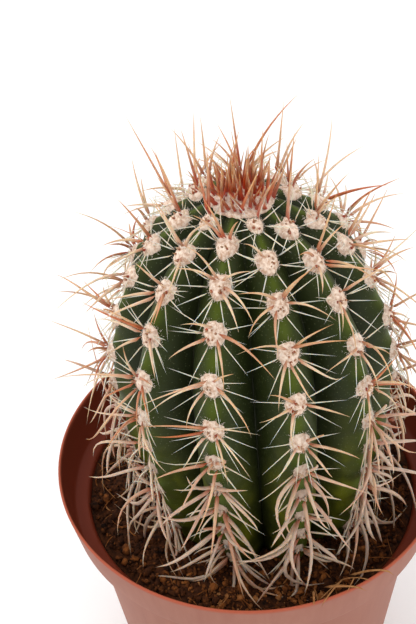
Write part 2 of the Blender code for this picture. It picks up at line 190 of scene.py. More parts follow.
def polypropylene():
    """Moulded polypropylene, dyed terracotta: satin, under a dull pale layer of dried water. The
    outside's paler colour is partly that layer and partly painted sheen. The inside's darker colour
    is painted shade, and the rim's top edge is a painted glow of light through the thin plastic.
    """
    look = bpy.context.scene.cactus_pot
    made, tree, shader, place, outside, rim = new_material(
        "moulded_polypropylene", ["outside", "rim"], IOR=1.49, Specular_IOR_Level=0.15
    )
    cloudy = add_node(tree, "TexNoise", {"Vector": place, "Scale": per_metre(22), "Detail": 4})
    drawn = add_node(tree, "Mapping", {"Vector": place, "Scale": (1, 1, 0.12)})
    streaks = add_node(tree, "TexNoise", {"Vector": drawn, "Scale": per_metre(2.5), "Detail": 3})
    film_and_sheen = add_node(tree, "Math", {0: cloudy, 1: streaks}, operation="MULTIPLY")
    film_and_sheen = add_node(tree, "MapRange", {0: film_and_sheen, 1: 0.1, 2: 0.45, 3: 0.72, 4: 1.0})
    film_and_sheen = add_node(tree, "Math", {0: film_and_sheen, 1: outside}, operation="MULTIPLY")
    # The darker inside colour is painted shade within the pot. The paler outside colour, on faces
    # that look out or down, is partly dried water and partly painted sheen.
    colour = look.inside
    for share, over in (film_and_sheen, look.outside), (rim, look.rim):
        inputs = {0: share, MIX_A: colour, MIX_B: over}
        colour = add_node(tree, "Mix", inputs, data_type="RGBA").outputs[MIX_RESULT]
    dull = add_node(tree, "MapRange", {0: film_and_sheen, 1: 0.0, 2: 1.0, 3: 0.5, 4: 0.6})
    grain = relief(tree, place, 0.7, 3, 0.12, 0.15)
    set_inputs(tree, shader, {"Base Color": colour, "Roughness": dull, "Normal": grain})
    return made


def peat():
    """Peat and coir, milled and watered: matt, dark where wet, rust and tan where fibre shows. The
    crumbs are paler towards the front as painted light.
    """
    look = bpy.context.scene.cactus_soil
    made, tree, shader, place, tone = new_material(
        "peat_and_coir", ["tone"], Roughness=0.92, IOR=1.4, Specular_IOR_Level=0.25
    )
    mottle = add_node(tree, "TexNoise", {"Vector": place, "Scale": per_metre(1.6), "Detail": 6})
    spread = add_node(tree, "MapRange", {0: mottle, 1: 0.3, 2: 0.7, 3: -0.22, 4: 0.22})
    tone = add_node(tree, "Math", {0: tone, 1: spread}, operation="ADD")
    stops = (0.0, look.dark), (1.0, look.light), (0.35, look.middle), (0.7, look.rust)
    colour = add_node(tree, "ValToRGB", {0: tone}, stops)
    grit = relief(tree, place, 0.45, 4, 0.7, 0.4)
    set_inputs(tree, shader, {"Base Color": colour, "Normal": grit})
    return made


def cactus_skin():
    """Living cactus skin, waxy: deep green, darkened towards each furrow as painted shade, bright
    on young crests, olive low down, pale pores.
    """
    look = bpy.context.scene.cactus_stem
    made, tree, shader, place, crest, fresh, low = new_material(
        "waxy_cactus_skin", ["crest", "fresh", "low"], IOR=1.42, Specular_IOR_Level=0.2
    )
    cloudy = add_node(tree, "TexNoise", {"Vector": place, "Scale": per_metre(9), "Detail": 5})
    # The green darkens from the crest down into the furrow: painted shade.
    stops = (0.0, look.furrow), (1.0, look.flank), (0.45, look.shade)
    colour = add_node(tree, "ValToRGB", {0: crest}, stops)
    olive = add_node(tree, "MapRange", {0: cloudy, 1: 0.42, 2: 0.62, 3: 0.25, 4: 1.0})
    olive = add_node(tree, "Math", {0: olive, 1: low}, operation="MULTIPLY")
    # Pores are 0.1 mm across on the plant, and drawn here at 0.3 mm so that they show.
    pores = add_node(tree, "TexVoronoi", {"Vector": place, "Scale": per_metre(0.9)})
    pores = add_node(tree, "MapRange", {0: pores, 1: 0.12, 2: 0.22, 3: 0.3, 4: 0.0})
    for share, over in (olive, look.olive), (fresh, look.fresh), (pores, look.pores):
        inputs = {0: share, MIX_A: colour, MIX_B: over}
        colour = add_node(tree, "Mix", inputs, data_type="RGBA").outputs[MIX_RESULT]
    gloss = add_node(tree, "MapRange", {0: cloudy, 1: 0.3, 2: 0.7, 3: 0.4, 4: 0.58})
    fine = relief(tree, place, 0.6, 4, 0.25, 0.2)
    set_inputs(tree, shader, {"Base Color": colour, "Roughness": gloss, "Normal": fine})
    return made


def felted_wool():
    """Plant wool, short and matted: pinkish cream and dull. Its folds are darker as painted shade,
    the pads keep the shaded colours as painted shade, and the loose hairs take the lit colour as
    painted light.
    """
    look = bpy.context.scene.cactus_areoles
    made, tree, shader, place, weathered, pale = new_material(
        "felted_wool", ["weathered", "pale"], Roughness=0.95, IOR=1.45, Specular_IOR_Level=0.15
    )
    tufts = add_node(tree, "TexNoise", {"Vector": place, "Scale": per_metre(0.9), "Detail": 4})
    # Wool in the folds of the noise is darker: painted shade. pale lays the lit wool colour over
    # it: painted light.
    stops = (0.36, look.wool_shade), (0.6, look.wool_middle)
    colour = add_node(tree, "ValToRGB", {0: tufts}, stops)
    age = add_node(tree, "Math", {0: weathered, 1: 0.85}, operation="MULTIPLY")
    for share, over in (pale, look.wool), (age, look.wool_old):
        inputs = {0: share, MIX_A: colour, MIX_B: over}
        colour = add_node(tree, "Mix", inputs, data_type="RGBA").outputs[MIX_RESULT]
    nap = relief(tree, place, 0.4, 5, 0.6, 0.3)
    set_inputs(tree, shader, {"Base Color": colour, "Normal": nap})
    return made


def dry_spine():
    """Dry spine tissue, smooth and horny, lit through: cream to tan, and rust at its ends."""
    look = bpy.context.scene.cactus_spines
    made, tree, shader, place, along, tone, young, weathered, rusty = new_material(
        "horny_spine",
        ["along", "tone", "young", "weathered", "rusty"],
        Roughness=0.4,
        IOR=1.52,
        Subsurface_Weight=0.8,
        Subsurface_Radius=(1.0, 0.6, 0.35),
        Subsurface_Scale=1.2 * MM,
    )
    tip = add_node(tree, "MapRange", {0: along, 1: 0.55, 2: 1.0, 3: 0.0, 4: 0.9})
    tip = add_node(tree, "Math", {0: tip, 1: tone}, operation="MULTIPLY")
    tip = add_node(tree, "Math", {0: tip, 1: rusty}, operation="MAXIMUM")
    foot = add_node(tree, "MapRange", {0: along, 1: 0.08, 2: 0.3, 3: 1.0, 4: 0.0})
    foot_share = add_node(tree, "MapRange", {0: tone, 1: 0.0, 2: 1.0, 3: 0.15, 4: 0.9})
    foot = add_node(tree, "Math", {0: foot, 1: foot_share}, operation="MULTIPLY")
    stops = (0.08, look.young_foot), (0.95, look.tip), (0.4, look.young), (0.75, look.tan)
    fresh = add_node(tree, "ValToRGB", {0: along}, stops)
    layers = [(tone, look.tan), (tip, look.tip), (weathered, look.weathered)]
    layers += [(foot, look.foot), (young, fresh)]
    colour = look.cream
    for share, over in layers:
        inputs = {0: share, MIX_A: colour, MIX_B: over}
        colour = add_node(tree, "Mix", inputs, data_type="RGBA").outputs[MIX_RESULT]
    # Streaks along the spine, and less light from young spines of a low tone.
    streak = add_node(tree, "TexNoise", {"Vector": place, "Scale": per_metre(1.8), "Detail": 3})
    light = add_node(tree, "MapRange", {0: streak, 1: 0.3, 2: 0.7, 3: 0.86, 4: 1.1})
    inner = add_node(tree, "MapRange", {0: tone, 1: 0.5, 2: 1.0, 3: 0.35, 4: 0.0})
    inner = add_node(tree, "Math", {0: inner, 1: young}, operation="MULTIPLY")
    light = add_node(tree, "Math", {0: light, 1: inner}, operation="SUBTRACT")
    colour = add_node(tree, "HueSaturation", {"Value": light, "Color": colour})
    set_inputs(tree, shader, {"Base Color": colour})
    return made


def matt_paint():
    """Matt white paint: even and without gloss."""
    made, tree, shader, place = new_material("matt_white_paint", Roughness=0.9, IOR=1.5)
    colour = bpy.context.scene.cactus_stage.floor
    cloudy = add_node(tree, "TexNoise", {"Vector": place, "Scale": per_metre(300)})
    stops = (0.3, [0.985 * c for c in colour]), (0.7, colour)
    set_inputs(tree, shader, {"Base Color": add_node(tree, "ValToRGB", {0: cloudy}, stops)})
    return made


# The plant's surfaces


def unit(vectors):
    """Vectors scaled to length one. One with no length comes out as NaN, as at the foot's pole."""
    return vectors / np.linalg.norm(vectors, axis=-1, keepdims=True)


def crest_table():
    """Arc length from the apex, radius and height of points down a crest line."""
    middle = POT_HEIGHT + WIDEST_ABOVE_RIM
    turn = np.linspace(0, math.pi / 2, 300)
    down = np.linspace(0, middle - SOIL_LEVEL, 200)[1:]
    flank = STEM_RADIUS * np.sqrt(1 - (down / FLANK_DEPTH) ** 2)
    foot = turn[1:]
    radius = np.concatenate([STEM_RADIUS * np.sin(turn), flank, flank[-1] * np.cos(foot)])
    height = [middle + DOME_HEIGHT * np.cos(turn), middle - down]
    height = np.concatenate([*height, SOIL_LEVEL - FOOT_DEPTH * np.sin(foot)])
    steps = np.hypot(np.diff(radius), np.diff(height))
    return np.concatenate([[0], np.cumsum(steps)]), radius, height


CREST_S, CREST_R, CREST_Z = crest_table()
CREST_LENGTH = float(CREST_S[-1])


def from_crest(azimuth):
    """How far off a crest an azimuth is: 0 on the crest, 1 in the furrow."""
    rib = (azimuth - FIRST_RIB) / RIB_ANGLE
    return np.abs(2 * (rib - np.round(rib)))


def skin_point(s, azimuth):
    """Points of the stem's skin: s along the crest line from the apex, at an azimuth."""
    radius = np.interp(s, CREST_S, CREST_R)
    height = np.interp(s, CREST_S, CREST_Z)
    radius = radius * (1 - FURROW * from_crest(azimuth) ** FURROW_POWER)
    above = height - POT_HEIGHT
    x = PLANT_X + LEAN_X * above + ROUNDNESS * radius * np.sin(azimuth)
    y = PLANT_Y + LEAN_Y * above - radius * np.cos(azimuth)
    return np.stack(np.broadcast_arrays(x, y, height), axis=-1)


def skin_frame(s, azimuth):
    """Outward, up-the-rib and sideways unit vectors of the skin."""
    s = np.maximum(s, 1 * MM)
    up = skin_point(s - 0.5 * MM, azimuth) - skin_point(s + 0.5 * MM, azimuth)
    side = skin_point(s, azimuth + 0.01) - skin_point(s, azimuth - 0.01)
    return unit(np.cross(side, up)), unit(up), unit(side)


def areole_place(number):
    """Arc length of an areole that is number pitches down its rib."""
    wide = WIDE_PITCH * 1.4 * math.sqrt(math.pi) / 2
    bulge = math.erf((number - 3) / 1.4) - math.erf(-3 / 1.4)
    return FIRST_AREOLE + PITCH * number + wide * bulge


def areole_numbers(rib):
    """Numbers of a rib's areoles, from the crown down to the soil."""
    azimuth = FIRST_RIB + rib * RIB_ANGLE
    number = (rib * PHYLLOTAXIS) % 1 - 1
    found = []
    while skin_point(areole_place(number), azimuth)[2] > SOIL_LEVEL + FRINGE_FOOT:
        if number > CROWN_TOP:
            found.append(number)
        number += 1
    return found


def soil_top(x, y):
    """Height of the soil's surface, without its crumbs."""
    from_stem = np.hypot(x - PLANT_X, y - PLANT_Y)
    mound = SOIL_MOUND * np.clip(1 - (from_stem - MOUND_START) / MOUND_WIDTH, 0, 1)
    bump = np.sin(410 * x + 1.3) * np.cos(350 * y) + 0.6 * np.sin(790 * (x + y))
    return SOIL_LEVEL + mound + 0.5 * MM * bump


def pot_inside(z):
    """The pot's inner radius at a height above its base."""
    body = BASE_RADIUS + (BODY_TOP_RADIUS - BASE_RADIUS) * z / SHELF
    collar = COLLAR_FOOT_RADIUS + (RIM_RADIUS - COLLAR_FOOT_RADIUS) * (z - SHELF) / COLLAR_HEIGHT
    return np.where(z < SHELF, body, collar) - WALL


# Meshes


class Ball:
    """The points and faces of a UV sphere, in a fixed order.

    station counts rings from the top pole, and turn is the angle about the axis.
    """

    def __init__(self, sides, stations):
        bpy.ops.object.select_all(action="DESELECT")
        bpy.ops.mesh.primitive_uv_sphere_add(segments=sides, ring_count=stations, radius=1)
        ball = bpy.context.active_object
        self.points = np.array([vert.co for vert in ball.data.vertices])
        self.station = np.round(np.arccos(np.clip(self.points[:, 2], -1, 1)) / math.pi * stations)
        self.station = self.station.astype(int)
        self.stations = stations
        self.share = np.linspace(0, 1, stations + 1)  # of the way down, at each ring
        self.turn = np.arctan2(self.points[:, 1], self.points[:, 0])
        loops = []
        for face in ball.data.polygons:
            corners = list(face.vertices)
            first = corners.index(min(corners))
            loops.append(corners[first:] + corners[:first])
        loops.sort()
        self.corners = np.array([corner for loop in loops for corner in loop])
        self.sizes = np.array([len(loop) for loop in loops])
        mesh = ball.data
        bpy.data.objects.remove(ball)
        bpy.data.meshes.remove(mesh)


class Sculpt:
    """Gathers copies of shapes into one mesh, with a material and named values on each."""

    def __init__(self, names):
        self.names = names
        self.points, self.corners, self.sizes, self.finishes = [], [], [], []
        self.values = {name: [] for name in names}
        self.count = 0

    def add(self, ball, points, finish=0, **values):
        """points is (copies, points of the ball, 3). A value is one number, or one a point."""
        copies, each = points.shape[:2]
        starts = self.count + each * np.arange(copies)
        self.points.append(points.reshape(-1, 3))
        self.corners.append((starts[:, None] + ball.corners).ravel())
        self.sizes.append(np.tile(ball.sizes, copies))
        self.finishes.append(np.full(len(ball.sizes) * copies, finish))
        for name in self.names:
            value = np.asarray(values.get(name, 0.0), float)
            if value.ndim == 1 and len(value) == copies != each:
                value = value[:, None]
            self.values[name].append(np.broadcast_to(value, (copies, each)).ravel())
        self.count += copies * each

    def finish(self, name, materials, slot, nodes=()):
        """Make the object, ride it on its body, and stand it for its nodes."""
        mesh = bpy.data.meshes.new(name)
        points, corners = np.concatenate(self.points), np.concatenate(self.corners)
        sizes = np.concatenate(self.sizes)
        mesh.vertices.add(len(points))
        mesh.vertices.foreach_set("co", points.astype(np.float32).ravel())
        mesh.loops.add(len(corners))
        mesh.loops.foreach_set("vertex_index", corners.astype(np.int32))
        mesh.polygons.add(len(sizes))
        starts = np.concatenate([[0], np.cumsum(sizes)[:-1]])
        mesh.polygons.foreach_set("loop_start", starts.astype(np.int32))
        for material in materials:
            mesh.materials.append(material)
        mesh.polygons.foreach_set("material_index", np.concatenate(self.finishes).astype(np.int32))
        mesh.update(calc_edges=True)
        for value_name, values in self.values.items():
            layer = mesh.attributes.new(value_name, "FLOAT", "POINT")
            layer.data.foreach_set("value", np.concatenate(values).astype(np.float32))
        mesh.shade_smooth()
        piece = bpy.data.objects.new(name, mesh)
        bpy.context.scene.collection.objects.link(piece)
        return seat(piece, nodes)


def seat(piece, nodes):
    """Hand a finished piece to the frame."""
    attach(piece, PLACE)
    if nodes:
        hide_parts(*nodes)
    return piece


def tube_points(ball, centres, radii):
    """A ball drawn out along each path.

    centres is (copies, stations + 1, 3), and radii is the same without the 3.
    """
    tangent = unit(np.gradient(centres, axis=1))
    chord = unit(centres[:, -1] - centres[:, 0])
    helper = np.where(np.abs(chord[:, 2:]) < 0.7, [[0.0, 0.0, 1.0]], [[1.0, 0.0, 0.0]])
    across = unit(helper - (helper * chord).sum(1, keepdims=True) * chord)[:, None]
    across = unit(across - (across * tangent).sum(-1, keepdims=True) * tangent)
    other = np.cross(across, tangent)
    station = ball.station
    around = np.cos(ball.turn)[:, None] * across[:, station]
    around = around + np.sin(ball.turn)[:, None] * other[:, station]
    return centres[:, station] + radii[:, station, None] * around


def bent_paths(ball, starts, directions, bends, lengths, hooks=0.0):
    """Points along each spine or hair: it bends more towards its tip, and may end in a hook."""
    share = ball.share[None, :, None]
    hooks = np.broadcast_to(hooks, directions.shape)
    bent = bends[:, None] * share**BEND_POWER + hooks[:, None] * share**HOOK_POWER
    return starts[:, None] + lengths[:, None, None] * (directions[:, None] * share + bent)


def keep_clear(centres, radii):
    """Lift points out of the soil, and pull them inside the pot where they are below its rim."""
    x, y, z = centres[..., 0], centres[..., 1], centres[..., 2]
    floor = soil_top(x, y) + radii + OFF_SOIL
    z = np.maximum(z, floor)
    around = np.hypot(x, y)
    most = pot_inside(z) - radii - OFF_POT
    pull = np.where((z < POT_HEIGHT + 1.5 * MM) & (around > most), most / around, 1)
    return np.stack([x * pull, y * pull, z], axis=-1)


def apply_modifier(obj, kind, **settings):
    modifier = obj.modifiers.new(kind.title(), kind)
    for name, value in settings.items():
        setattr(modifier, name, value)
    bpy.ops.object.select_all(action="DESELECT")
    obj.select_set(True)
    bpy.context.view_layer.objects.active = obj
    bpy.ops.object.modifier_apply(modifier=modifier.name)


# Areoles and spines


class Spines:
    """Spines planned on their areoles, then drawn out together."""

    def __init__(self):
        self.rows = []

    def plan(self, start, axes, tilt, turn, length, girth, **shape):
        """tilt is off the outward normal and turn is about it from the crown, in degrees.

        shape may give a droop, a curl back to the skin, a sweep round towards a greater turn
        and a hook of the tip alone, and the spine's named values.
        """
        droop, curl, sweep, hook = (
            shape.pop(bend, 0.0) for bend in ("droop", "curl", "sweep", "hook")
        )
        out, up, side = axes
        lean, swing = math.radians(tilt), math.radians(turn)
        level = up * math.cos(swing) + side * math.sin(swing)
        direction = out * math.cos(lean) + level * math.sin(lean)
        aside = side * math.cos(swing) - up * math.sin(swing)
        bend = np.array([0, 0, -droop]) + curl * (0.3 * level - out) + sweep * aside
        self.rows.append((start, direction, bend, hook * (aside + level), length, girth, shape))

    def draw(self, sculpt, ball, finish):
        """Draw out all that is planned, as one set of copies."""
        if not self.rows:
            return
        starts, directions, bends, hooks, lengths, girths = (
            np.array([row[i] for row in self.rows]) for i in range(6)
        )
        given = {
            name: np.array([row[6].get(name, 0.0) for row in self.rows])[:, None]
            for name in ("tone", "young", "rusty", "weathered")
        }
        centres = bent_paths(ball, starts, directions, bends, lengths, hooks)
        share = ball.share[None]
        blunt = SHARP_POWER + BLUNTING * given["weathered"] ** 2
        foot = 1 + FOOT_SWELL * np.exp(-share / FOOT_REACH)
        radii = girths[:, None] / 2 * foot * (1 - share**blunt)
        radii[:, 0] *= FOOT_PINCH
        centres = keep_clear(centres, radii)
        along = np.repeat(share[:, ball.station], len(self.rows), axis=0)
        values = {name: value * np.ones_like(along) for name, value in given.items()}
        sculpt.add(ball, tube_points(ball, centres, radii), finish, along=along, **values)


WOOL, SPINE = 0, 1  # the materials of an areole's mesh


def add_hairs(sculpt, ball, paths, rng, weathered):
    """Pale tapering hairs. paths is their starts, directions, bends and lengths."""
    count = len(paths[0])
    radii = np.tile(HAIR_GIRTH / 2 * (1 - HAIR_TAPER * ball.share), (count, 1))
    # Each hair takes part of the lit wool colour: painted light.
    pale = rng.uniform(0.45, 1.0, count)
    points = tube_points(ball, bent_paths(ball, *paths), radii)
    sculpt.add(ball, points, WOOL, weathered=weathered, pale=pale)


class Areole:
    """One woolly cushion, its hairs and its spines."""

    def __init__(self, rib, number):
        self.number = number
        self.azimuth = FIRST_RIB + rib * RIB_ANGLE
        self.s = areole_place(number)
        self.frame = skin_frame(self.s, self.azimuth)
        self.seat = skin_point(self.s, self.azimuth)
        self.rng = np.random.default_rng([rib, round(number * 100) + 1000])
        # Shares from 0 to 1: old near the soil, young in the upper rows, fresh in the crown
        self.old = min(1.0, max(0.0, (number - OLD_FROM) / OLD_OVER))
        self.young = min(1.0, max(0.0, 1 - number / YOUNG_UNTIL))
        self.fresh = min(1.0, max(0.0, (FRESH_UNTIL - number) / FRESH_OVER))
        self.size = 1 - 0.3 * max(0.0, -number / 0.6) - 0.34 * self.old

    def laid(self, points):
        """Points of a unit ball laid over the crest as a cushion."""
        x, y, z = points[..., 0], points[..., 1], points[..., 2]
        girth = np.linalg.norm(self.seat - skin_point(self.s, self.azimuth + math.pi)) / 2
        around = self.azimuth + x * min(CUSHION_WIDTH * self.size / 2 / girth, 0.4 * RIB_ANGLE)
        s = self.s - y * CUSHION_LENGTH * self.size / 2
        rise = np.where(z > 0, z * CUSHION_HEIGHT * self.size, z * 1.3 * MM)
        return skin_point(s, around) + rise[..., None] * self.frame[0]

    def cushion(self, sculpt, ball):
        """A low pad of matted wool with a ragged edge."""
        ragged = [
            noise.noise(Vector((3 * math.cos(t), 3 * math.sin(t), 7 * self.azimuth + self.number)))
            for t in ball.turn
        ]
        wide = 1 + 0.22 * np.array(ragged)
        shape = ball.points * np.column_stack([wide, wide, np.ones(len(wide))])
        points = self.laid(shape)
        lumps = [
            noise.noise(Vector(point) * per_metre(1.1))
            + 0.7 * noise.noise(Vector(point) * per_metre(0.5))
            for point in points
        ]
        upper = np.clip(ball.points[:, 2] + 0.3, 0, 1)
        points = points + (0.28 * MM * np.array(lumps) * upper)[:, None] * self.frame[0]
        # The pad keeps the wool's shaded colours: painted shade under the spines.
        sculpt.add(ball, points[None], WOOL, weathered=self.old, pale=0.0)

    def hairs(self, sculpt, ball, count):
        """Short pale hairs, felted over the pad and loose at its edge."""
        rng = self.rng
        turn = rng.uniform(0, math.tau, count)
        height = rng.uniform(0.0, 1.0, count) ** 1.2
        level = np.sqrt(1 - height**2) * (1 + rng.uniform(-0.05, 0.12, count))
        roots = np.stack([np.cos(turn) * level, np.sin(turn) * level, height], axis=-1)
        out, up, side = self.frame
        aim = roots[:, :1] * side + roots[:, 1:2] * up + 0.35 * out
        aim = unit(aim + rng.normal(0, 0.7, (count, 3)))
        bends = rng.normal(0, 0.5, (count, 3)) - 0.25 * out
        lengths = rng.uniform(0.3, 0.8, count) * MM * self.size
        starts = self.laid(roots) - 0.1 * MM * out
        add_hairs(sculpt, ball, (starts, aim, bends, lengths), rng, self.old)

    def start(self, turn, reach, lift=0.8):
        """Where a spine leaves the cushion: reach off its middle, towards turn."""
        out, up, side = self.frame
        swing = math.radians(turn)
        level = up * math.cos(swing) * 1.15 + side * math.sin(swing)
        return self.seat + self.size * (level * reach + out * CUSHION_HEIGHT * lift)

    def plan_radials(self, spines):
        """Thin ivory needles spread over the skin like a star."""
        rng, young, old = self.rng, self.young, self.old
        look = bpy.context.scene.cactus_spines
        turns = (62, 92, 122, 161)
        if self.number < SINGLES_TOP:
            turns = (34, 72, 112, 155)
        elif old > 0.3:
            turns = (80, 132)
        for turn in [side * turn for side in (-1, 1) for turn in turns]:
            for again in range(1 + (rng.random() < 0.15 * (1 - old))):
                spines.plan(
                    self.start(turn, 2.2 * MM, 0.4),
                    self.frame,
                    rng.normal(70 - 10 * old - 22 * (young > 0.8) * (turn**2 < 80**2), 4),
                    rng.normal(turn, 6) + 9 * again,
                    look.radial * (1 - 0.1 * young) * rng.normal(1.0, 0.12),
                    look.radial_girth * rng.normal(1.0, 0.1) * (1 + 0.5 * old),
                    droop=0.02 + 0.3 * old,
                    curl=rng.normal(0.03, 0.04) + 0.15 * old,
                    sweep=math.copysign(0.1 * old, turn),
                    hook=rng.normal(0, 0.12) * old,
                    tone=max(0.0, rng.normal(0.08, 0.08)),
                    weathered=old * rng.uniform(0.4, 1.0),
                )

    def plan_stubs(self, spines):
        """Dark red tips of spines that are only just through the wool."""
        rng = self.rng
        for _ in range(5):
            spines.plan(
                self.start(rng.uniform(0, 360), rng.uniform(0.3, 1.9) * MM, 0.55),
                self.frame,
                rng.uniform(0, 30),
                rng.uniform(0, 360),
                rng.uniform(1.0, 1.7) * MM,
                rng.uniform(0.7, 1.1) * MM,
                tone=0.2,
                young=1.0 - self.old,
                weathered=self.old,
            )

    def plan_centrals(self, spines):
        """Stout spines from the middle: upright when young, then clawed, and drooping when old."""
        rng, young, old = self.rng, self.young, self.old
        look = bpy.context.scene.cactus_spines
        upward = (0.75 + 0.2 * (self.number < 1.2)) * (1 - old)
        claws = 0.75 - 0.6 * old
        sides = 0.2 * old - 0.36 * young
        lower = 0.8 - 0.15 * old - 0.3 * young
        flat = 54 - 20 * young - 14 * old
        # turn from the crown, tilt off the skin's normal, share of the full length, curl, chance
        plan = [
            (rng.normal(0, 24), 30 - 10 * young, 1.22, 0.02, upward),
            (-34, 50 - 20 * young, 0.68, 0.3, claws),
            (32, 50 - 20 * young, 0.66, 0.3, claws),
            (-86, flat, 0.94 + 0.1 * old, 0.2, 0.66 + sides),
            (84, flat, 0.9 + 0.14 * old, 0.22, 0.62 + sides),
            (-126, 44 + 4 * old, 0.8 + 0.2 * old, 0.3, lower),
            (128, 44 + 4 * old, 0.82 + 0.2 * old, 0.32, lower),
            (rng.normal(180, 14 + 10 * old), 22 + 14 * old, 1.0, 0.1, 0.12 + 0.45 * old),
        ]
        if self.number < SINGLES_TOP:
            plan = [(0, 20, 1.1, 0.0, 0.8), (-50, 30, 0.7, 0.1, 0.45), (50, 30, 0.7, 0.1, 0.45)]
            plan += [(-24, 18, 0.95, 0.0, 0.45), (28, 18, 0.85, 0.0, 0.45)]
        upright = min(1.0, max(0.0, 1 - (self.number - CROWN_TOP) / 1.4))
        for turn, tilt, share, curl, chance in plan:
            if rng.random() > chance:
                continue
            turn, tilt = turn * (1 - 0.5 * upright), tilt + (22 - tilt) * upright
            length = (look.central + look.young_growth * young) * share
            aside = min(1, abs(turn) / 30)
            spines.plan(
                self.start(turn, 1.5 * MM),
                self.frame,
                rng.normal(tilt, 6),
                rng.normal(turn, 9),
                length * rng.normal(1.0, 0.12),
                look.central_girth * rng.normal(1.0, 0.1) * (0.94 + 0.1 * young + 0.34 * old),
                droop=max(0.0, rng.normal(0.2 * old, 0.08)),
                curl=rng.normal(curl, 0.1) * (1 - 0.6 * young),
                sweep=math.copysign(rng.normal(0.42 - 0.62 * old, 0.24) * aside, turn)
                * (1 - 0.6 * young)
                * (abs(turn) < 165),
                hook=rng.normal(0, 0.08 + 0.36 * old) * (1 - young),
                tone=min(1.0, max(0.35, rng.normal(0.8, 0.2))),
                young=0.6 * self.fresh,
                rusty=rng.random() * (rng.random() < 0.2 + 0.3 * (self.number > 2.4)),
                weathered=old * rng.choice((0.4, 0.8, 1.0)),
            )

    def grow(self, sculpt, balls):
        """Make the whole areole."""
        self.cushion(sculpt, balls["cushion"])
        self.hairs(sculpt, balls["hair"], bpy.context.scene.cactus_areoles.hairs)
        radials, centrals = Spines(), Spines()
        self.plan_radials(radials)
        self.plan_centrals(centrals)
        self.plan_stubs(radials)
        radials.draw(sculpt, balls["radial"], SPINE)
        centrals.draw(sculpt, balls["central"], SPINE)


def areole_balls():
    return {
        "cushion": Ball(20, 12),
        "hair": Ball(3, 3),
        "radial": Ball(5, 6),
        "central": Ball(7, 9),
    }


AREOLE_VALUES = ("along", "tone", "young", "rusty", "weathered", "pale")


def apex_wool(sculpt, ball):
    """The wool of the unborn areoles, one low pad over the apex."""
    turn = ball.turn
    s = np.hypot(ball.points[:, 0], ball.points[:, 1]) * (TUFT_RADIUS + 0.5 * MM)
    skin = skin_point(s, turn)
    axis = skin_point(0 * s, turn)[:, :2]
    filled = axis + (skin[:, :2] - axis) / (1 - 0.8 * FURROW * from_crest(turn)[:, None] ** 2)
    lumps = [noise.noise(Vector(point) * per_metre(1.3)) for point in skin]
    rise = np.where(ball.points[:, 2] > 0, 1.3 * MM, 1.2 * MM) * ball.points[:, 2]
    rise = rise + 0.5 * MM * np.array(lumps) * (ball.points[:, 2] > 0.1)
    points = np.column_stack([filled, skin[:, 2] + rise])
    # The apex's wool keeps the shaded colours: painted shade.
    sculpt.add(ball, points[None], WOOL, pale=0.0)


def apex_hairs(sculpt, ball):
    """Loose hairs over the apex's wool, and over its edge."""
    rng = np.random.default_rng(6)
    count = 5 * bpy.context.scene.cactus_areoles.hairs
    turn = rng.uniform(0, math.tau, count)
    s = (TUFT_RADIUS + 0.6 * MM) * np.sqrt(rng.uniform(0.2, 1.0, count))
    out, up, _ = skin_frame(s, turn)
    starts = skin_point(s, turn) + 0.9 * MM * out
    aim = unit(0.6 * out - 0.5 * up + rng.normal(0, 0.7, (count, 3)))
    bends = rng.normal(0, 0.5, (count, 3))
    lengths = rng.uniform(0.5, 1.2, count) * MM
    add_hairs(sculpt, ball, (starts, aim, bends, lengths), rng, 0.0)


def tuft_spines(spines):
    """The youngest spines, crowded over the apex: short in the middle and leaning in."""
    rng = np.random.default_rng(5)
    look = bpy.context.scene.cactus_spines
    for i in range(look.tuft):
        outer = math.sqrt((i + 0.5) / look.tuft)
        turn = i * GOLDEN_ANGLE
        s = TUFT_RADIUS * outer
        short = outer > 0.6 and i % 2
        spines.plan(
            skin_point(s, turn) + skin_frame(s, turn)[0] * 0.3 * MM,
            skin_frame(s, turn),
            rng.normal(2 + 10 * outer, 6),
            rng.normal(0, 45) + 180 * short,
            look.central * rng.uniform(0.55, 1.08) * (0.5 + 0.4 * outer) * (0.75 if short else 1.0),
            look.central_girth * rng.uniform(0.95, 1.4),
            curl=rng.normal(-0.1, 0.06),
            hook=rng.normal(0, 0.06),
            tone=rng.uniform(0.5, 1.0),
            young=1.0 - 0.3 * outer**4,
        )


# What a user can change


def colour(name, description, code):
    return bpy.props.FloatVectorProperty(
        name=name,
        description=description,
        subtype="COLOR",
        size=3,
        min=0,
        max=1,
        default=hex_colour(code),
    )


def count(name, description, default, least, most):
    return bpy.props.IntProperty(
        name=name, description=description, default=default, min=least, max=most
    )


def amount(name, description, default, **settings):
    return bpy.props.FloatProperty(
        name=name, description=description, default=default, **settings
    )


class PotSettings(bpy.types.PropertyGroup):
    steps: count("Steps", "Facets round the pot", 160, 24, 400)
    # Inside is darkened as painted shade. Outside is paler, partly dried water and partly painted
    # sheen.
    inside: colour("Inside", "Clean plastic, as on the inner wall", "#76301D")
    outside: colour("Outside", "Plastic under its film of dried water", "#A06C5B")
    # The rim colour is a painted glow of light through the thin plastic.
    rim: colour("Rim", "Thin plastic that light shines through", "#A8543C")


class SoilSettings(bpy.types.PropertyGroup):
    crumbs: count("Crumbs", "Loose crumbs on the soil", 4300, 0, 6000)
    fibres: count("Fibres", "Strands of coir on the soil", 150, 0, 900)
    dark: colour("Dark", "Wet peat", "#1A0C06")
    middle: colour("Middle", "Moist peat", "#4C2812")
    rust: colour("Rust", "Coir pith", "#8A5023")
    light: colour("Light", "Dry fibre", "#A8774A")


